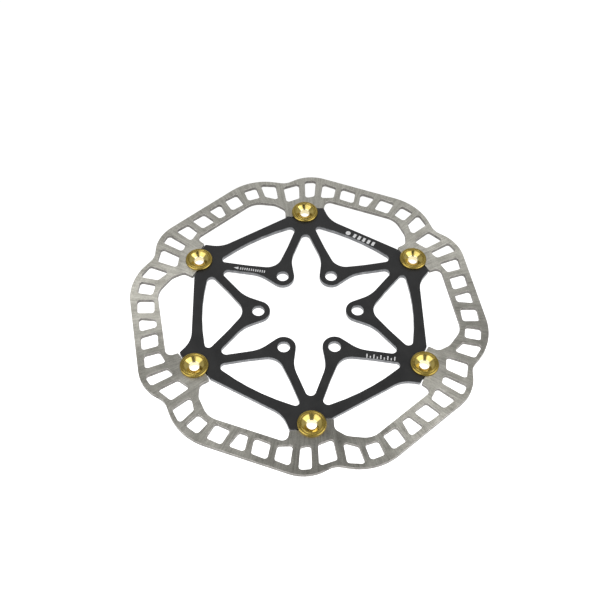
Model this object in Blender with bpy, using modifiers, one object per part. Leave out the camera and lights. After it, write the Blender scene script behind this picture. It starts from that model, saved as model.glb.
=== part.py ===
"""A two-piece floating disc brake rotor for a bicycle: 160 mm across, six-bolt fixing.

A slotted steel brake ring is held round a spoked carrier by six hollow bobbins. Each
bobbin sits in a hole that is half in the ring and half in the carrier, and clamps them
through a wave washer and a retaining washer on the back. The rotor lies on the XY plane
on the swaged ends of its bobbins, with its axis on Z and one bobbin on +Y. Front is +Z.

Outlines are in millimetres. Each is one sixth of the rotor, drawn beside the bobbin on
+Y and repeated round the axis, and each corner is (x, y, radius of its rounding).
"""

import math

import bmesh
import bpy
from mathutils import Matrix, Vector

MM = 0.001
SECTORS = 6
SECTOR_ANGLE = math.tau / SECTORS
CHORD_ERROR = 0.06  # how far a facet may cut inside its arc
TURN_STEPS = 24  # facets round a turned piece

# Heights above the surface that the rotor lies on
CARRIER_BACK = 1.9
CARRIER_THICKNESS = 2.0
RING_THICKNESS = 1.8
CARRIER_FRONT = CARRIER_BACK + CARRIER_THICKNESS
FACE_GAP = 0.1  # running clearance between stacked faces

# Six-bolt hub fixing
BOLT_CIRCLE_RADIUS = 22.0
BOLT_HOLE_RADIUS = 2.7
EAR_RADIUS = 5.3

# Bobbins and the holes they sit in
BOBBIN_CIRCLE_RADIUS = 56.8
SHANK_RADIUS = 4.3
SEAT_RADIUS = 4.6
BORE_RADIUS = 2.1
HEAD_RADIUS = 6.1
HEAD_THICKNESS = 1.0
LIP_RADIUS = 5.2
LIP_THICKNESS = 0.6

# Washers on the back of each bobbin
WASHER_RADIUS = 6.1
RETAINER_THICKNESS = 0.5
WAVE_SHEET = 0.25
WAVE_HEIGHT = 0.125  # the sheet swings this far each way
WAVES = 3

# The seam between ring and carrier is stepped: low on the left of a bobbin, high on its right
SEAM_LEFT = -2.65
SEAM_RIGHT = 2.55
SEAM_HALF_GAP = 0.28
TAB_HALF_WIDTH = 9.25
TAB_ROUNDING = 0.6

# Brake ring, outside: a long flat, and a shallow notch just past each bobbin
RING_OUTSIDE = [
    (1.55, 81.5, 18.0),
    (-8.55, 75.1, 8.0),
    (-25.6, 78.6, 25.7),
]

# Brake ring, inside, from the tab's free corner round to the next bobbin
RING_INSIDE = [
    (-TAB_HALF_WIDTH, 59.1, 3.0),
    (-14.1, 62.3, 6.0),
    (-24.4, 63.5, 9.0),
]
RING_INSIDE_NEXT = (10.2, 65.0, 2.6)  # beside the next bobbin, in that bobbin's sector

# Cooling windows of one sector, each with its four corners
WINDOW_ROUNDING = 1.3
RING_WINDOWS = [
    [(-10.0, 72.9), (-2.4, 75.6), (-2.3, 65.9), (-8.5, 63.3)],
    [(0.5, 76.9), (5.9, 77.2), (4.9, 67.1), (0.5, 66.1)],
    [(9.3, 75.5), (15.6, 72.8), (14.1, 66.2), (7.8, 66.1)],
    [(18.4, 72.6), (24.9, 69.8), (23.5, 62.5), (16.8, 65.3)],
    [(27.5, 69.0), (34.2, 66.3), (29.7, 60.1), (25.9, 61.5)],
    [(36.9, 65.7), (43.2, 62.6), (39.5, 56.0), (33.1, 59.1)],
    [(46.7, 60.8), (51.8, 56.8), (46.8, 51.5), (42.3, 55.5)],
    [(54.2, 55.9), (57.6, 49.1), (50.0, 43.2), (48.5, 49.7)],
]

# Carrier: outer bar, triangular opening behind it and the notch between neighbouring ears
BAR_OUTSIDE = 51.0  # from the axis to the bar's outer edge
FLARE_X = 11.8
FLARE_ROUNDING = 12.0
OPENING = [
    (-21.4, 44.45, 1.7),
    (0.0, 48.2, 96.0),
    (21.4, 44.45, 2.1),
    (10.5, 35.3, 60.0),
    (0.0, 27.4, 7.0),
    (-10.5, 35.3, 60.0),
]
EAR_CORNER = (0.0, 8.15, EAR_RADIUS)
NOTCH = [
    (7.0, 28.8, 15.0),
    (0.0, 47.4, 2.2),
    (-7.0, 28.8, 15.0),
]


def turned(points, angle):
    """The points turned about the rotor's axis, counterclockwise from the front."""
    turn = Matrix.Rotation(angle, 2)
    return [(*(turn @ Vector(point[:2])), *point[2:]) for point in points]


def round_the_axis(points):
    """One outline made from a sector's points, repeated counterclockwise."""
    return [p for i in range(SECTORS) for p in turned(points, i * SECTOR_ANGLE)]


def arc(centre, radius, start, end):
    """Points on an arc, from one angle to the other, both included."""
    facet = 2 * math.acos(1 - CHORD_ERROR / radius)
    steps = max(2, math.ceil(abs(end - start) / facet))
    angles = [start + (end - start) * i / steps for i in range(steps + 1)]
    return [
        (centre[0] + radius * math.cos(a), centre[1] + radius * math.sin(a)) for a in angles
    ]


def rounded(corners):
    """The closed outline through the corners, each rounded to its own radius."""
    outline = []
    for i, corner in enumerate(corners):
        at = Vector(corner[:2])
        radius = corner[2] if len(corner) > 2 else 0.0
        if radius == 0.0:
            outline.append(tuple(at))
            continue
        before = (Vector(corners[i - 1][:2]) - at).normalized()
        after = (Vector(corners[(i + 1) % len(corners)][:2]) - at).normalized()
        half = before.angle(after) / 2
        centre = at + (before + after).normalized() * radius / math.sin(half)
        first = at + before * radius / math.tan(half) - centre
        sweep = math.pi - 2 * half
        if before.cross(after) > 0:
            sweep = -sweep
        start = math.atan2(first.y, first.x)
        outline += arc(centre, radius, start, start + sweep)
    return outline


def seat(side):
    """The half of a bobbin's seat cut from the ring (side 1) or the carrier (side -1)."""
    start = math.asin((SEAM_RIGHT + side * SEAM_HALF_GAP) / SEAT_RADIUS)
    end = math.asin((SEAM_LEFT + side * SEAM_HALF_GAP) / SEAT_RADIUS)
    return arc((0.0, BOBBIN_CIRCLE_RADIUS), SEAT_RADIUS, start, side * math.pi - end)


def ring_outlines():
    """The outlines that bound the brake ring and its windows."""
    right = BOBBIN_CIRCLE_RADIUS + SEAM_RIGHT + SEAM_HALF_GAP
    left = BOBBIN_CIRCLE_RADIUS + SEAM_LEFT + SEAM_HALF_GAP
    inside = [
        (TAB_HALF_WIDTH, right, TAB_ROUNDING),
        *seat(1),
        (-TAB_HALF_WIDTH, left, TAB_ROUNDING),
        *RING_INSIDE,
        *turned([RING_INSIDE_NEXT], SECTOR_ANGLE),
    ]
    windows = [
        turned(rounded([(*corner, WINDOW_ROUNDING) for corner in window]), i * SECTOR_ANGLE)
        for window in RING_WINDOWS
        for i in range(SECTORS)
    ]
    return [rounded(round_the_axis(RING_OUTSIDE)), rounded(round_the_axis(inside)), *windows]


def carrier_outlines():
    """The outlines that bound the carrier, its openings and its bolt holes."""
    right = BOBBIN_CIRCLE_RADIUS + SEAM_RIGHT - SEAM_HALF_GAP
    left = BOBBIN_CIRCLE_RADIUS + SEAM_LEFT - SEAM_HALF_GAP
    half_sector = SECTOR_ANGLE / 2
    flare_y = (BAR_OUTSIDE - FLARE_X * math.sin(half_sector)) / math.cos(half_sector)
    bar_end_x = (BAR_OUTSIDE - left * math.cos(half_sector)) / math.sin(half_sector)
    outside = [
        (FLARE_X, flare_y, FLARE_ROUNDING),
        (TAB_HALF_WIDTH, right, TAB_ROUNDING),
        *seat(-1),
        (-bar_end_x, left, TAB_ROUNDING),
    ]
    inside = [*turned([EAR_CORNER], -half_sector), *NOTCH]
    outlines = [rounded(round_the_axis(outside)), rounded(round_the_axis(inside))]
    for i in range(SECTORS):
        angle = (i - 0.5) * SECTOR_ANGLE
        outlines.append(turned(rounded(OPENING), angle))
        hole = arc((0.0, BOLT_CIRCLE_RADIUS), BOLT_HOLE_RADIUS, 0.0, math.tau)[:-1]
        outlines.append(turned(hole, angle))
    return outlines


def bobbin_profile():
    """Half section of a bobbin as (radius, height): round the head, down the shank, up the bore."""
    head_back = CARRIER_FRONT + FACE_GAP
    front = head_back + HEAD_THICKNESS
    return [
        (4.0, front - 0.25),
        (4.4, front),
        (5.7, front),
        (HEAD_RADIUS, front - 0.4),
        (HEAD_RADIUS, head_back),
        (SHANK_RADIUS, head_back),
        (SHANK_RADIUS, LIP_THICKNESS),
        (LIP_RADIUS, LIP_THICKNESS),
        (LIP_RADIUS, 0.2),
        (LIP_RADIUS - 0.3, 0.0),
        (3.1, 0.0),
        (BORE_RADIUS, 0.9),
        (BORE_RADIUS, front - 1.6),
    ]


def washer_profile(back, thickness):
    """Half section of a flat washer whose back face is at this height."""
    front = back + thickness
    return [
        (SEAT_RADIUS, front),
        (WASHER_RADIUS, front),
        (WASHER_RADIUS, back),
        (SEAT_RADIUS, back),
    ]


def make_material(name, colour, metallic, roughness):
    material = bpy.data.materials.new(name)
    material.use_nodes = True
    shader = material.node_tree.nodes["Principled BSDF"]
    shader.inputs["Base Color"].default_value = (*colour, 1.0)
    shader.inputs["Metallic"].default_value = metallic
    shader.inputs["Roughness"].default_value = roughness
    return material


def make_plate(name, outlines, back, thickness, material, collection):
    """A flat plate cut to closed outlines: the first bounds it and the others are openings."""
    curve = bpy.data.curves.new(name, "CURVE")
    curve.dimensions = "2D"
    curve.fill_mode = "BOTH"
    curve.extrude = thickness / 2 * MM
    for outline in outlines:
        spline = curve.splines.new("POLY")
        spline.points.add(len(outline) - 1)
        for point, (x, y) in zip(spline.points, outline):
            point.co = (x * MM, y * MM, 0.0, 1.0)
        spline.use_cyclic_u = True
    curve.materials.append(material)
    plate = bpy.data.objects.new(name, curve)
    plate.location.z = (back + thickness / 2) * MM
    collection.objects.link(plate)
    return plate


def make_turned_mesh(name, profile, material):
    """The mesh of a closed profile turned about Z by a Screw modifier."""
    outline = bmesh.new()
    corners = [outline.verts.new((r * MM, 0.0, z * MM)) for r, z in profile]
    for i, corner in enumerate(corners):
        outline.edges.new((corners[i - 1], corner))
    section = bpy.data.meshes.new(name + "_section")
    outline.to_mesh(section)
    outline.free()
    turning = bpy.data.objects.new(name + "_turning", section)
    bpy.context.scene.collection.objects.link(turning)
    screw = turning.modifiers.new("Turn", "SCREW")
    screw.steps = TURN_STEPS
    screw.render_steps = TURN_STEPS
    screw.use_merge_vertices = True
    screw.merge_threshold = 0.001 * MM
    graph = bpy.context.evaluated_depsgraph_get()
    mesh = bpy.data.meshes.new_from_object(turning.evaluated_get(graph))
    bpy.data.objects.remove(turning)
    bpy.data.meshes.remove(section)
    mesh.name = name
    mesh.shade_smooth()
    mesh.set_sharp_from_angle(angle=math.radians(35))
    mesh.materials.append(material)
    return mesh


def make_wavy(mesh):
    """Bends a flat washer's mesh into waves round its axis."""
    for vertex in mesh.vertices:
        around = math.atan2(vertex.co.y, vertex.co.x)
        vertex.co.z += WAVE_HEIGHT * MM * math.cos(WAVES * around)


def make_bobbins(meshes, collection):
    """Six bobbins with their washers, each set on an empty that stands on its own axis."""
    for i in range(SECTORS):
        angle = i * SECTOR_ANGLE
        axis = bpy.data.objects.new(f"bobbin_axis_{i + 1}", None)
        axis.location = Matrix.Rotation(angle, 3, "Z") @ Vector((0, BOBBIN_CIRCLE_RADIUS * MM, 0))
        axis.rotation_euler.z = angle
        collection.objects.link(axis)
        for piece, mesh in meshes.items():
            obj = bpy.data.objects.new(f"{piece}_{i + 1}", mesh)
            obj.parent = axis
            collection.objects.link(obj)


def main():
    for obj in list(bpy.data.objects):
        bpy.data.objects.remove(obj)
    rotor = bpy.data.collections.new("brake_disc_rotor")
    bpy.context.scene.collection.children.link(rotor)

    steel = make_material("brushed_stainless", (0.37, 0.35, 0.32), 1.0, 0.35)
    black = make_material("black_anodised", (0.02, 0.02, 0.022), 0.4, 0.45)
    gold = make_material("gold_anodised", (0.70, 0.47, 0.08), 1.0, 0.25)
    spring = make_material("spring_steel", (0.50, 0.48, 0.45), 1.0, 0.3)

    ring_back = CARRIER_FRONT - RING_THICKNESS
    make_plate("brake_ring", ring_outlines(), ring_back, RING_THICKNESS, steel, rotor)
    make_plate("carrier", carrier_outlines(), CARRIER_BACK, CARRIER_THICKNESS, black, rotor)

    retainer_back = LIP_THICKNESS + FACE_GAP
    wave_middle = (retainer_back + RETAINER_THICKNESS + CARRIER_BACK) / 2
    retainer = washer_profile(retainer_back, RETAINER_THICKNESS)
    wave = washer_profile(wave_middle - WAVE_SHEET / 2, WAVE_SHEET)
    meshes = {
        "bobbin": make_turned_mesh("bobbin", bobbin_profile(), gold),
        "wave_washer": make_turned_mesh("wave_washer", wave, spring),
        "back_washer": make_turned_mesh("back_washer", retainer, spring),
    }
    make_wavy(meshes["wave_washer"])
    make_bobbins(meshes, rotor)


main()
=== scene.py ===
"""The looks of a floating brake disc rotor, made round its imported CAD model.

The brake ring and the carrier are cut again to their CAD outlines, with the facets turned back into
arcs and with rounded edges. The bobbins and washers are turned again with fine profiles. Everything
is in the frame's metres: the rotor lies on the XY plane, front up, with its axis on Z.
"""

import math

import bmesh
import bpy
from mathutils import Matrix, Vector


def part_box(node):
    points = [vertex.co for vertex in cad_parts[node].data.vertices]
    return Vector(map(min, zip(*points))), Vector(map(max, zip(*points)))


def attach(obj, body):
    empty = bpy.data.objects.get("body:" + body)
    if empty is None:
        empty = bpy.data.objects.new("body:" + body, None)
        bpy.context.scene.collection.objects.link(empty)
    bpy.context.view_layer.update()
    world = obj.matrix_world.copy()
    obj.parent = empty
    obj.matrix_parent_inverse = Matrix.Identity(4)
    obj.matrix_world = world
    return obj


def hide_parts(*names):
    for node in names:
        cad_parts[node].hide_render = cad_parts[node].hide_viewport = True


MM = 0.001

# Camera, as the photographer held it
CAMERA_PLACE = Vector((-17.25, -251.04, 364.18)) * MM
CAMERA_TILT = (35.491, -1.283, -1.282)  # degrees
CAMERA_LENS = 59.5  # on a sensor 36 mm wide
CAMERA_NEAR = 0.01

# Reading the CAD plates
CAD_WELD = 0.001 * MM
CAD_FLAT = 0.01 * MM  # a corner this near to the front's height lies on the front
SHARPEST_ARC = math.radians(50)  # an outline that turns more than this at a point has a corner
FINE_TURN = math.radians(6)  # one facet of a smoothed arc

# Plates
FACE, WALL, EDGE = range(3)  # a plate's material slots
LEVEL = 0.99  # a face whose normal rises more than this is part of the flat face
UPRIGHT = 0.1  # a face whose normal rises less than this is part of the cut wall
RING_EDGE = 0.10 * MM
CARRIER_EDGE = 0.14 * MM
EDGE_STEPS = 2
WELD = 0.0005 * MM

# Turned pieces
TURN_STEPS = 96
SHARP_EDGE = math.radians(35)

# Bobbins: radii, and depths from the front of the head or from the back of the lip
BOBBINS = 6
BOBBIN_ROUNDING_STEPS = 5
CONE_RADIUS = 3.95 * MM
CONE_RIM_DEPTH = 0.30 * MM
CONE_FOOT_DEPTH = 1.6 * MM
FLANGE_RADIUS = 4.35 * MM  # where the flat flange starts, outside the cone's rounded rim
GROOVE_RADIUS = 4.95 * MM
GROOVE_DEPTH = 0.10 * MM
GROOVE_HALF = 0.16 * MM  # half the groove's width
CHAMFER_RADIUS = 5.72 * MM
CHAMFER_DEPTH = 0.36 * MM
HEAD_THICKNESS = 1.00 * MM
SHANK_RADIUS = 4.3 * MM
BORE_RADIUS = 2.1 * MM
LIP_RADIUS = 5.2 * MM
LIP_THICKNESS = 0.60 * MM
LIP_CHAMFER_RADIUS = 4.9 * MM
LIP_CHAMFER_DEPTH = 0.10 * MM
BACK_MOUTH_RADIUS = 3.1 * MM
BACK_MOUTH_DEPTH = 0.9 * MM

# Washers
WASHER_BORE = 4.6 * MM
WASHER_EDGE = 0.06 * MM
WASHER_ROUNDING_STEPS = 3
WAVE_SHEET = 0.25 * MM
WAVES = 3

# Marks etched on the carrier's face, in millimetres, and their slants in degrees
MARK_HEIGHT = 0.012 * MM  # a mark reaches this far above the face and below it
ARROW_CENTRE = (-26.2, 22.9)
ARROW_SLANT = -10
ARROW_HEAD = [(-7.2, 0.0), (-5.0, -0.75), (-5.0, 0.75)]
ARROW_DASHES = [-4.2, -3.2, -2.2, -1.2, -0.2, 0.8, 1.8, 2.8, 3.8, 4.8, 5.8, 6.8]
DASH_WIDTH = 0.45
DASH_HALF = 0.65
BARS_CENTRE = (25.6, 40.9)
BARS_SLANT = -30
BARS = [-3.6, -1.2, 1.2, 3.6, 6.0]
BAR_WIDTH = 1.3
BAR_HALF = 1.15
DOT_MIDDLE = -6.4
DOT_RADIUS = 1.15
DOT_CORNERS = 24
SCALE_CENTRE = (30.4, -24.7)
SCALE_SLANT = -8
TICKS = [-6, -4.5, -3, -1.5, 0, 1.5, 3, 4.5, 6]
TICK_WIDTH = 0.5
TICK_LOW = -1.0
LONG_TICK = 1.0
SHORT_TICK = 0.1

# Floor: its half size, how far it lies under the rotor, and its own glow before and behind that
FLOOR_HALF = 4.0
FLOOR_GAP = 0.02 * MM
FLOOR_FRONT = 1.6
FLOOR_BACK = 0.92
FLOOR_FADE = 0.08  # the glow fades between this far in front of the axis and as far behind it

# Studio: how bright its dome is at each height, the height as a sine
STUDIO_DOME = [(0.50, 0.47), (0.65, 0.23), (0.78, 0.23), (0.88, 0.0)]
STUDIO_TINT = (0.97, 0.985, 1.0, 1.0)

# Each light's azimuth and elevation in degrees, its distance and width in metres, and its radiance
LAMPS = {
    "softbox_left": (211, 33, 1.3, 1.15, 1.5),
    "softbox_right": (331, 33, 1.3, 1.15, 1.75),
    "softbox_back": (90, 33, 1.3, 0.9, 0.58),
    "lamp_left": (177, 75, 1.0, 0.34, 3.9),
    "lamp_right": (358, 48.7, 1.0, 0.36, 1.5),
    "lamp_front": (240, 62, 1.0, 0.40, 1.2),
    "fill_right": (33, 60, 1.0, 0.36, 0.5),
    "fill_back": (120, 62, 1.0, 0.25, 0.30),
    "fill_top": (60, 76, 1.0, 0.25, 1.1),
}


# ---------------------------------------------------------------- outlines


def plate_outlines(node):
    """The closed outlines of a CAD plate's front face, each as a list of points."""
    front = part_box(node)[1].z
    plate = bmesh.new()
    plate.from_mesh(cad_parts[node].data)
    bmesh.ops.remove_doubles(plate, verts=plate.verts, dist=CAD_WELD)
    on_front = {f for f in plate.faces if all(abs(v.co.z - front) < CAD_FLAT for v in f.verts)}
    neighbours = {}
    for edge in plate.edges:
        if sum(face in on_front for face in edge.link_faces) == 1:
            a, b = edge.verts
            neighbours.setdefault(a, []).append(b)
            neighbours.setdefault(b, []).append(a)
    outlines = []
    while neighbours:
        at = next(iter(neighbours))
        outline = []
        while at in neighbours:
            outline.append(at.co.xy.copy())
            onward = neighbours.pop(at)
            at = onward[0] if onward[0] in neighbours else onward[1]
        outlines.append(outline)
    plate.free()
    return outlines


def smoothed(corners):
    """The outline with each facet bent back into the arc that it was cut from."""
    outline = []
    count = len(corners)
    for i, start in enumerate(corners):
        before = corners[i - 1]
        end = corners[(i + 1) % count]
        after = corners[(i + 2) % count]
        chord = end - start
        leaving = end - before if (start - before).angle(chord) < SHARPEST_ARC else chord
        arriving = after - start if chord.angle(after - end) < SHARPEST_ARC else chord
        leaving = leaving.normalized() * chord.length
        arriving = arriving.normalized() * chord.length
        steps = max(1, math.ceil(leaving.angle(arriving) / FINE_TURN))
        for step in range(steps):
            t = step / steps
            outline.append(
                start * (2 * t**3 - 3 * t**2 + 1)
                + leaving * (t**3 - 2 * t**2 + t)
                + end * (3 * t**2 - 2 * t**3)
                + arriving * (t**3 - t**2)
            )
    return outline


# ---------------------------------------------------------------- shapes


def link(name, data, place=(0, 0, 0), angle=0.0):
    """A new object in the scene, turned about Z by the angle."""
    piece = bpy.data.objects.new(name, data)
    piece.location = place
    piece.rotation_euler.z = angle
    bpy.context.scene.collection.objects.link(piece)
    return piece


def outline_mesh(name, outlines, thickness, edge):
    """The mesh of a plate cut to its outlines, with rounded edges, centred on the XY plane."""
    curve = bpy.data.curves.new(name, "CURVE")
    curve.dimensions = "2D"
    curve.fill_mode = "BOTH"
    curve.extrude = thickness / 2 - edge
    curve.bevel_depth = edge
    curve.bevel_resolution = EDGE_STEPS
    curve.offset = -edge
    for outline in outlines:
        points = smoothed(outline)
        spline = curve.splines.new("POLY")
        spline.points.add(len(points) - 1)
        for point, place in zip(spline.points, points):
            point.co = (place.x, place.y, 0.0, 1.0)
        spline.use_cyclic_u = True
    cutting = link(name + "_outline", curve)
    seen = cutting.evaluated_get(bpy.context.evaluated_depsgraph_get())
    mesh = bpy.data.meshes.new_from_object(seen)
    bpy.data.objects.remove(cutting)
    mesh.name = name
    return mesh


def make_plate(name, node, edge, finishes):
    """A plate cut to a CAD plate's outlines; its finishes are those of face, wall and edge."""
    low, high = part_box(node)
    mesh = outline_mesh(name, plate_outlines(node), high.z - low.z, edge)
    mesh.materials.clear()
    for finish in finishes:
        mesh.materials.append(finish)
    welded = bmesh.new()
    welded.from_mesh(mesh)
    bmesh.ops.remove_doubles(welded, verts=welded.verts, dist=WELD)
    for face in welded.faces:
        rise = abs(face.normal.z)
        face.smooth = rise < LEVEL
        face.material_index = FACE if rise > LEVEL else WALL if rise < UPRIGHT else EDGE
    welded.to_mesh(mesh)
    welded.free()
    return link(name, mesh, (0, 0, (low.z + high.z) / 2))


def rounded_profile(corners, steps):
    """A closed profile through (radius, height, rounding) corners, each rounded by a curve."""
    profile = []
    for i, (r, z, rounding) in enumerate(corners):
        at = Vector((r, z))
        if rounding == 0:
            profile.append(at)
            continue
        before = Vector(corners[i - 1][:2])
        after = Vector(corners[(i + 1) % len(corners)][:2])
        first = at + (before - at).normalized() * rounding
        last = at + (after - at).normalized() * rounding
        for step in range(steps + 1):
            t = step / steps
            profile.append(first * (1 - t) ** 2 + at * 2 * t * (1 - t) + last * t**2)
    return profile


def turned_mesh(name, profile, material):
    """The mesh of a closed profile turned about Z."""
    section = bmesh.new()
    ring = [section.verts.new((r, 0.0, z)) for r, z in profile]
    for i, vertex in enumerate(ring):
        section.edges.new((ring[i - 1], vertex))
    bmesh.ops.spin(
        section,
        geom=section.verts[:] + section.edges[:],
        cent=(0, 0, 0),
        axis=(0, 0, 1),
        angle=math.tau,
        steps=TURN_STEPS,
        use_merge=True,
    )
    bmesh.ops.remove_doubles(section, verts=section.verts, dist=WELD)
    bmesh.ops.recalc_face_normals(section, faces=section.faces)
    mesh = bpy.data.meshes.new(name)
    section.to_mesh(mesh)
    section.free()
    mesh.shade_smooth()
    mesh.set_sharp_from_angle(angle=SHARP_EDGE)
    mesh.materials.append(material)
    return mesh


# ---------------------------------------------------------------- materials


class Finish:
    """One material's shader nodes, written as expressions."""

    def __init__(self, name):
        self.material = bpy.data.materials.new(name)
        self.material.use_nodes = True
        self.tree = self.material.node_tree
        self.shader = self.tree.nodes["Principled BSDF"]
        place = self.node("TexCoord").outputs["Object"]
        self.mm = self.vector("SCALE", place, scale=1 / MM)

    def node(self, kind):
        return self.tree.nodes.new("ShaderNode" + kind)

    def feed(self, socket, value):
        """Link a node's output to the socket, or set the socket's own value."""
        if isinstance(value, bpy.types.NodeSocket):
            self.tree.links.new(value, socket)
        else:
            socket.default_value = value

    def math(self, operation, *values):
        node = self.node("Math")
        node.operation = operation
        for socket, value in zip(node.inputs, values):
            self.feed(socket, value)
        return node.outputs[0]

    def total(self, *shares):
        """The sum of (value, weight) pairs."""
        weighted = [self.math("MULTIPLY", value, weight) for value, weight in shares]
        total = weighted[0]
        for value in weighted[1:]:
            total = self.math("ADD", total, value)
        return total

    def vector(self, operation, *values, scale=None):
        node = self.node("VectorMath")
        node.operation = operation
        for socket, value in zip(node.inputs, values):
            self.feed(socket, value)
        if scale is not None:
            self.feed(node.inputs["Scale"], scale)
        return node.outputs["Value" if operation == "LENGTH" else "Vector"]

    def stretched(self, x=1.0, y=1.0, z=1.0):
        """Coordinates in millimetres, scaled along each axis."""
        return self.vector("MULTIPLY", self.mm, (x, y, z))

    def split(self, vector, axis):
        """One coordinate of a vector."""
        node = self.node("SeparateXYZ")
        self.feed(node.inputs[0], vector)
        return node.outputs[axis]

    def noise(self, vector, scale, detail, roughness):
        node = self.node("TexNoise")
        sockets = {"Vector": vector, "Scale": scale, "Detail": detail, "Roughness": roughness}
        for name, value in sockets.items():
            self.feed(node.inputs[name], value)
        return node.outputs["Fac"]

    def stretch(self, value, low, high, new_low=0.0, new_high=1.0):
        """The value moved from one range to another, and held inside it."""
        node = self.node("MapRange")
        for socket, number in zip(node.inputs, (value, low, high, new_low, new_high)):
            self.feed(socket, number)
        return node.outputs[0]

    def blend(self, share, first, second):
        node = self.node("Mix")
        node.data_type = "RGBA"
        self.feed(node.inputs["Factor"], share)
        self.feed(node.inputs[6], first)
        self.feed(node.inputs[7], second)
        return node.outputs[2]

    def bump(self, height, distance, strength):
        node = self.node("Bump")
        self.feed(node.inputs["Height"], height)
        self.feed(node.inputs["Distance"], distance)
        self.feed(node.inputs["Strength"], strength)
        self.feed(self.shader.inputs["Normal"], node.outputs["Normal"])

    def set(self, **sockets):
        for name, value in sockets.items():
            socket = name.replace("_", " ").title().replace("Ior", "IOR")
            self.feed(self.shader.inputs[socket], value)


def grey(level, tint=(1.0, 1.0, 1.0)):
    """A colour of one level, with a slight tint."""
    return (level * tint[0], level * tint[1], level * tint[2], 1.0)


# Each finish's colour, from its darker places to its paler ones
STEEL_FACE = grey(0.36, (1.0, 0.97, 0.84)), grey(0.75, (1.0, 0.975, 0.88))
STEEL_WALL = grey(0.14, (1.0, 0.94, 0.87)), grey(0.28, (1.0, 0.96, 0.90))
STEEL_EDGE = grey(0.40, (1.0, 0.96, 0.90)), grey(0.62, (1.0, 0.97, 0.92))
ALLOY_WALL = grey(0.14, (0.96, 0.98, 1.03)), grey(0.27, (0.98, 0.99, 1.02))
ALLOY_EDGE = grey(0.065, (0.95, 0.98, 1.05)), grey(0.15, (0.96, 1.0, 1.05))
BLACK_DYE = grey(0.010, (1.0, 1.0, 1.05)), grey(0.019)
BLACK_RUBBED = grey(0.05)
GOLD_CONE = (0.61, 0.47, 0.13, 1.0), (0.75, 0.59, 0.19, 1.0)
GOLD_FLANGE = (0.37, 0.27, 0.060, 1.0), (0.50, 0.365, 0.088, 1.0)
# The bore's paler colour is partly bare metal and partly a painted reflection of the bright floor
BORE_BARE_AND_GLEAM = (0.80, 0.70, 0.43, 1.0)
SPRING_STEEL = grey(0.42), grey(0.62)
MARK_WHITE = grey(0.55), grey(0.85)
FLOOR_WHITE = grey(0.15)
GLOW_WHITE = grey(1.0)


def round_axis(finish, lines, along):
    """Coordinates in which a texture runs in lines that point at the rotor's axis."""
    flat = finish.stretched(z=0.0)
    radius = finish.vector("LENGTH", flat)
    direction = finish.vector("SCALE", finish.vector("NORMALIZE", flat), scale=lines)
    outward = finish.node("CombineXYZ")
    finish.feed(outward.inputs["Z"], finish.math("MULTIPLY", radius, along))
    return finish.vector("ADD", direction, outward.outputs[0])


def brushed_steel():
    """The ring's ground faces: fine lines across the track, a few deeper ones, soft mottling."""
    finish = Finish("steel_brushed")
    fine = finish.noise(round_axis(finish, 240.0, 0.10), 1.0, 4.0, 0.6)
    deep = finish.noise(round_axis(finish, 80.0, 0.07), 1.0, 3.0, 0.65)
    mottle = finish.noise(finish.mm, 0.16, 3.0, 0.6)
    speck = finish.noise(finish.mm, 1.9, 2.0, 0.7)
    tone = finish.total((deep, 0.33), (mottle, 0.25), (fine, 0.18), (speck, 0.24))
    finish.set(
        base_color=finish.blend(finish.stretch(tone, 0.38, 0.62), *STEEL_FACE),
        metallic=1.0,
        roughness=finish.stretch(finish.math("ADD", fine, mottle), 0.7, 1.3, 0.30, 0.44),
        anisotropic=0.9,
    )
    tangent = finish.node("Tangent")
    tangent.direction_type = "RADIAL"
    tangent.axis = "Z"
    finish.feed(finish.shader.inputs["Tangent"], tangent.outputs[0])
    lines = finish.math("ADD", finish.math("MULTIPLY", fine, 0.4), deep)
    finish.bump(lines, 0.020 * MM, 0.7)
    return finish.material


def cut_metal(name, colours, roughness, scale):
    """A cut wall: the fine marks of the tool or the beam run straight through the plate."""
    finish = Finish(name)
    marks = finish.noise(finish.stretched(z=0.06), scale, 3.0, 0.65)
    cloud = finish.noise(finish.mm, 0.35, 2.0, 0.5)
    share = finish.total((marks, 0.6), (cloud, 0.4))
    finish.set(
        base_color=finish.blend(finish.stretch(share, 0.35, 0.65), *colours),
        metallic=1.0,
        roughness=finish.stretch(share, 0.35, 0.65, roughness + 0.06, roughness - 0.06),
    )
    finish.bump(marks, 0.02 * MM, 0.6)
    return finish.material


def black_anodised():
    """The carrier's faces: a dyed satin oxide over a blasted grain, with faint handling marks."""
    finish = Finish("anodised_black")
    grain = finish.noise(finish.mm, 5.0, 3.0, 0.6)
    cloud = finish.noise(finish.mm, 0.12, 4.0, 0.6)
    rubs = finish.noise(finish.stretched(x=0.35, y=2.4), 1.4, 4.0, 0.7)
    tone = finish.total((cloud, 0.6), (grain, 0.4))
    dyed = finish.blend(finish.stretch(tone, 0.36, 0.64), *BLACK_DYE)
    finish.set(
        base_color=finish.blend(finish.stretch(rubs, 0.66, 0.80, 0.0, 0.35), dyed, BLACK_RUBBED),
        metallic=0.0,
        roughness=finish.stretch(finish.math("ADD", grain, cloud), 0.7, 1.3, 0.36, 0.50),
    )
    finish.bump(grain, 0.010 * MM, 0.5)
    return finish.material


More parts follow.
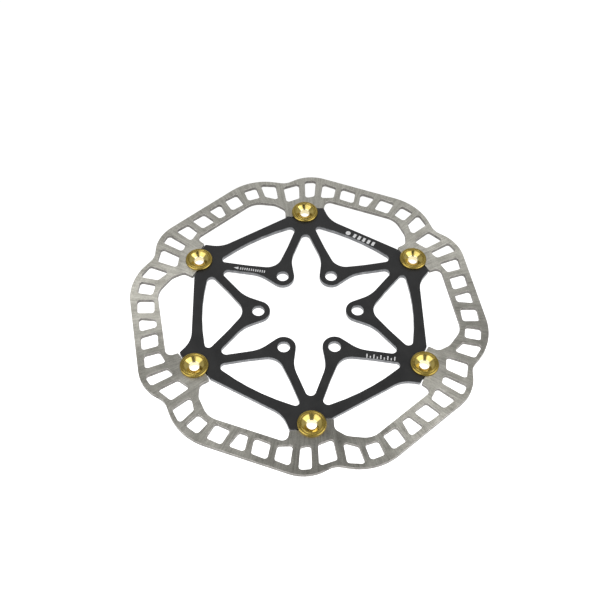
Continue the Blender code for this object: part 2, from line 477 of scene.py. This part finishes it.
def gold_anodised():
    """The bobbins: gold-dyed aluminium with the lathe's fine rings, paler in the bore: partly bare
    metal, partly a painted reflection of the bright floor.
    """
    finish = Finish("anodised_gold")
    radius = finish.vector("LENGTH", finish.stretched(z=0.0))
    turned = finish.node("CombineXYZ")
    finish.feed(turned.inputs["X"], radius)
    finish.feed(turned.inputs["Y"], finish.split(finish.mm, "Z"))
    rings = finish.noise(turned.outputs[0], 9.0, 3.0, 0.6)
    cloud = finish.noise(finish.mm, 0.6, 2.0, 0.5)
    tone = finish.stretch(finish.total((rings, 0.5), (cloud, 0.5)), 0.36, 0.64)
    on_flange = finish.stretch(radius, 3.9, 4.4)
    # Paler towards the bore: partly bare metal, partly a painted reflection of the bright floor
    in_bore = finish.stretch(radius, 2.65, 2.35)
    cone = finish.blend(in_bore, finish.blend(tone, *GOLD_CONE), BORE_BARE_AND_GLEAM)
    polish = finish.stretch(tone, 0.0, 1.0, 0.17, 0.12)
    finish.set(
        base_color=finish.blend(on_flange, cone, finish.blend(tone, *GOLD_FLANGE)),
        metallic=1.0,
        roughness=finish.math("ADD", polish, finish.math("MULTIPLY", on_flange, 0.14)),
    )
    finish.bump(rings, 0.002 * MM, 0.4)
    return finish.material


def spring_steel():
    """The washers on the back: bright rolled spring steel."""
    finish = Finish("steel_spring")
    rolled = finish.noise(finish.stretched(x=5.0, y=0.5), 1.6, 3.0, 0.6)
    cloud = finish.noise(finish.mm, 0.5, 2.0, 0.5)
    tone = finish.total((rolled, 0.6), (cloud, 0.4))
    finish.set(
        base_color=finish.blend(finish.stretch(tone, 0.35, 0.65), *SPRING_STEEL),
        metallic=1.0,
        roughness=finish.stretch(tone, 0.35, 0.65, 0.34, 0.22),
    )
    finish.bump(rolled, 0.004 * MM, 0.5)
    return finish.material


def etched_white():
    """Laser-etched marks: the dye is burnt off to a pale matte surface."""
    finish = Finish("etched_mark")
    grain = finish.noise(finish.mm, 7.0, 2.0, 0.6)
    finish.set(
        base_color=finish.blend(finish.stretch(grain, 0.35, 0.65), *MARK_WHITE),
        metallic=0.0,
        roughness=finish.stretch(grain, 0.35, 0.65, 0.75, 0.6),
    )
    finish.bump(grain, 0.01 * MM, 0.6)
    return finish.material


def glowing_white():
    """The floor: it glows by itself, so that no shadow dims it, and more brightly in front."""
    finish = Finish("floor_white")
    forward = finish.split(finish.mm, "Y")
    fade = FLOOR_FADE / MM
    finish.set(
        base_color=FLOOR_WHITE,
        roughness=0.9,
        specular_ior_level=0.0,
        emission_color=GLOW_WHITE,
        emission_strength=finish.stretch(forward, -fade, fade, FLOOR_FRONT, FLOOR_BACK),
    )
    return finish.material


# ---------------------------------------------------------------- pieces


def stand_for(piece, node, body):
    """The piece takes the CAD node's place, and moves with the body."""
    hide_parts(node)
    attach(piece, body)


def bobbin_corners(low, high):
    """A bobbin's half section as (radius, height, rounding), from its box in the frame."""
    head = (high.x - low.x) / 2
    front = high.z
    under_head = front - HEAD_THICKNESS
    return [
        (CONE_RADIUS, front - CONE_RIM_DEPTH, 0.08 * MM),
        (FLANGE_RADIUS, front, 0.10 * MM),
        (GROOVE_RADIUS - GROOVE_HALF, front, 0.0),
        (GROOVE_RADIUS, front - GROOVE_DEPTH, 0.04 * MM),
        (GROOVE_RADIUS + GROOVE_HALF, front, 0.0),
        (CHAMFER_RADIUS, front, 0.16 * MM),
        (head, front - CHAMFER_DEPTH, 0.14 * MM),
        (head, under_head, 0.08 * MM),
        (SHANK_RADIUS, under_head, 0.0),
        (SHANK_RADIUS, LIP_THICKNESS, 0.0),
        (LIP_RADIUS, LIP_THICKNESS, 0.08 * MM),
        (LIP_RADIUS, LIP_CHAMFER_DEPTH, 0.10 * MM),
        (LIP_CHAMFER_RADIUS, 0.0, 0.10 * MM),
        (BACK_MOUTH_RADIUS, 0.0, 0.10 * MM),
        (BORE_RADIUS, BACK_MOUTH_DEPTH, 0.15 * MM),
        (BORE_RADIUS, front - CONE_FOOT_DEPTH, 0.16 * MM),
    ]


def washer_corners(radius, low, high):
    """A flat washer's half section as (radius, height, rounding), between two heights."""
    edge = min(WASHER_EDGE, (high - low) / 4)
    corners = [(WASHER_BORE, high), (radius, high), (radius, low), (WASHER_BORE, low)]
    return [(r, z, edge) for r, z in corners]


def retainer_mesh(material):
    """A retaining washer: flat and thick."""
    low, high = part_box("back_washer_1")
    corners = washer_corners((high.x - low.x) / 2, low.z, high.z)
    profile = rounded_profile(corners, WASHER_ROUNDING_STEPS)
    return turned_mesh("retainer_turned", profile, material)


def wave_mesh(material):
    """A wave washer: a flat one, bent up and down round its hole."""
    low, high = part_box("wave_washer_1")
    middle = (low.z + high.z) / 2
    half = WAVE_SHEET / 2
    corners = washer_corners((high.x - low.x) / 2, middle - half, middle + half)
    profile = rounded_profile(corners, WASHER_ROUNDING_STEPS)
    mesh = turned_mesh("wave_turned", profile, material)
    wave_height = (high.z - low.z - WAVE_SHEET) / 2
    for vertex in mesh.vertices:
        vertex.co.z += wave_height * math.cos(WAVES * math.atan2(vertex.co.y, vertex.co.x))
    return mesh


def make_bobbins(gold, spring):
    """Six bobbins, each with its wave washer and its retaining washer."""
    low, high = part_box("bobbin_1")
    circle = (low.y + high.y) / 2
    profile = rounded_profile(bobbin_corners(low, high), BOBBIN_ROUNDING_STEPS)
    bobbin = turned_mesh("bobbin_turned", profile, gold)
    retainer = retainer_mesh(spring)
    wave = wave_mesh(spring)
    for i in range(BOBBINS):
        number = i + 1
        angle = i * math.tau / BOBBINS
        place = Matrix.Rotation(angle, 3, "Z") @ Vector((0, circle, 0))
        body = f"bobbin_{number}"
        piece = link(f"gold_bobbin_{number}", bobbin, place, angle)
        stand_for(piece, body, body)
        piece = link(f"spring_washer_{number}", wave, place, angle)
        stand_for(piece, f"wave_washer_{number}", body)
        piece = link(f"retaining_washer_{number}", retainer, place, angle)
        stand_for(piece, f"back_washer_{number}", body)


def make_mark(name, shapes, centre, slant, material):
    """Flat shapes on the carrier's face, each a list of (x, y) corners in millimetres."""
    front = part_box("carrier")[1].z
    turn = Matrix.Rotation(math.radians(slant), 2)
    mark = bmesh.new()
    for shape in shapes:
        corners = [(turn @ Vector(corner) + Vector(centre)) * MM for corner in shape]
        base = [mark.verts.new((x, y, front - MARK_HEIGHT)) for x, y in corners]
        face = mark.faces.new(base)
        lifted = bmesh.ops.extrude_face_region(mark, geom=[face])["geom"]
        top = [v for v in lifted if isinstance(v, bmesh.types.BMVert)]
        bmesh.ops.translate(mark, verts=top, vec=(0, 0, 2 * MARK_HEIGHT))
    bmesh.ops.recalc_face_normals(mark, faces=mark.faces)
    mesh = bpy.data.meshes.new(name)
    mark.to_mesh(mesh)
    mark.free()
    mesh.materials.append(material)
    piece = link(name, mesh)
    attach(piece, "carrier")


def bar(left, width, low, high):
    """The corners of an upright bar."""
    return [(left, low), (left + width, low), (left + width, high), (left, high)]


def make_marks(material):
    """Plain marks: an arrow for the way the rotor turns, a row of bars, and a scale of ticks."""
    dashes = [bar(x, DASH_WIDTH, -DASH_HALF, DASH_HALF) for x in ARROW_DASHES]
    make_mark("etched_arrow", [ARROW_HEAD, *dashes], ARROW_CENTRE, ARROW_SLANT, material)

    turns = [i / DOT_CORNERS * math.tau for i in range(DOT_CORNERS)]
    dot = [(DOT_RADIUS * math.cos(t) + DOT_MIDDLE, DOT_RADIUS * math.sin(t)) for t in turns]
    bars = [bar(x, BAR_WIDTH, -BAR_HALF, BAR_HALF) for x in BARS]
    make_mark("etched_bars", [dot, *bars], BARS_CENTRE, BARS_SLANT, material)

    tops = [SHORT_TICK if i % 2 else LONG_TICK for i in range(len(TICKS))]
    ticks = [bar(x, TICK_WIDTH, TICK_LOW, top) for x, top in zip(TICKS, tops)]
    make_mark("etched_scale", ticks, SCALE_CENTRE, SCALE_SLANT, material)


# ---------------------------------------------------------------- studio


def make_camera():
    """The camera, at the photograph's viewing angle."""
    data = bpy.data.cameras.new("camera")
    data.lens = CAMERA_LENS
    data.clip_start = CAMERA_NEAR
    camera = link("camera", data, CAMERA_PLACE)
    camera.rotation_euler = [math.radians(angle) for angle in CAMERA_TILT]
    bpy.context.scene.camera = camera


def make_floor():
    """A plain white floor, just below the rotor."""
    half = FLOOR_HALF
    corners = [(-half, -half, 0), (half, -half, 0), (half, half, 0), (-half, half, 0)]
    mesh = bpy.data.meshes.new("floor")
    mesh.from_pydata(corners, [], [(0, 1, 2, 3)])
    mesh.materials.append(glowing_white())
    link("floor", mesh, (0, 0, -FLOOR_GAP))


def make_world():
    """A studio with pale walls and a dark ceiling."""
    world = bpy.data.worlds.new("studio")
    world.use_nodes = True
    tree = world.node_tree
    direction = tree.nodes.new("ShaderNodeTexCoord")
    parts = tree.nodes.new("ShaderNodeSeparateXYZ")
    level = tree.nodes.new("ShaderNodeValToRGB")
    stops = level.color_ramp.elements
    (lowest, walls), *between, (highest, ceiling) = STUDIO_DOME
    stops[0].position, stops[0].color = lowest, grey(walls)
    stops[1].position, stops[1].color = highest, grey(ceiling)
    for height, cornice in between:
        stops.new(height).color = grey(cornice)
    sky = tree.nodes["Background"]
    sky.inputs["Color"].default_value = STUDIO_TINT
    tree.links.new(direction.outputs["Generated"], parts.inputs[0])
    tree.links.new(parts.outputs["Z"], level.inputs[0])
    tree.links.new(level.outputs[0], sky.inputs["Strength"])
    bpy.context.scene.world = world


def make_lamps():
    """Square area lights that face the rotor: three softboxes, and lamps overhead."""
    for name, (azimuth, elevation, distance, size, radiance) in LAMPS.items():
        round_z = Matrix.Rotation(math.radians(azimuth), 3, "Z")
        upward = Matrix.Rotation(-math.radians(elevation), 3, "Y")
        place = round_z @ upward @ Vector((distance, 0, 0))
        data = bpy.data.lights.new(name, "AREA")
        data.size = size
        data.energy = radiance * math.pi * size**2
        lamp = link(name, data, place)
        lamp.rotation_euler = (-place).to_track_quat("-Z", "Y").to_euler()


# ---------------------------------------------------------------- scene

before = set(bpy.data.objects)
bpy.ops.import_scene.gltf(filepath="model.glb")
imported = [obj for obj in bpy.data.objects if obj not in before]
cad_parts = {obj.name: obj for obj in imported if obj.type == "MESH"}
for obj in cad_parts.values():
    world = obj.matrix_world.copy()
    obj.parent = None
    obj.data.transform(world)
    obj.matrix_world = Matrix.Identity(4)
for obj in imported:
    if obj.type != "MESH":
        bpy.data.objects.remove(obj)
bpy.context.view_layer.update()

make_camera()
make_floor()
make_world()
make_lamps()
bpy.context.scene.view_settings.view_transform = "Standard"

ring_finishes = [
    brushed_steel(),
    cut_metal("steel_cut", STEEL_WALL, 0.50, 3.0),
    cut_metal("steel_edge", STEEL_EDGE, 0.40, 2.0),
]
ring = make_plate("steel_ring", "brake_ring", RING_EDGE, ring_finishes)
stand_for(ring, "brake_ring", "ring")
carrier_finishes = [
    black_anodised(),
    cut_metal("alloy_wall", ALLOY_WALL, 0.38, 2.2),
    cut_metal("alloy_edge", ALLOY_EDGE, 0.34, 2.0),
]
carrier = make_plate("alloy_carrier", "carrier", CARRIER_EDGE, carrier_finishes)
stand_for(carrier, "carrier", "carrier")
make_bobbins(gold_anodised(), spring_steel())
make_marks(etched_white())
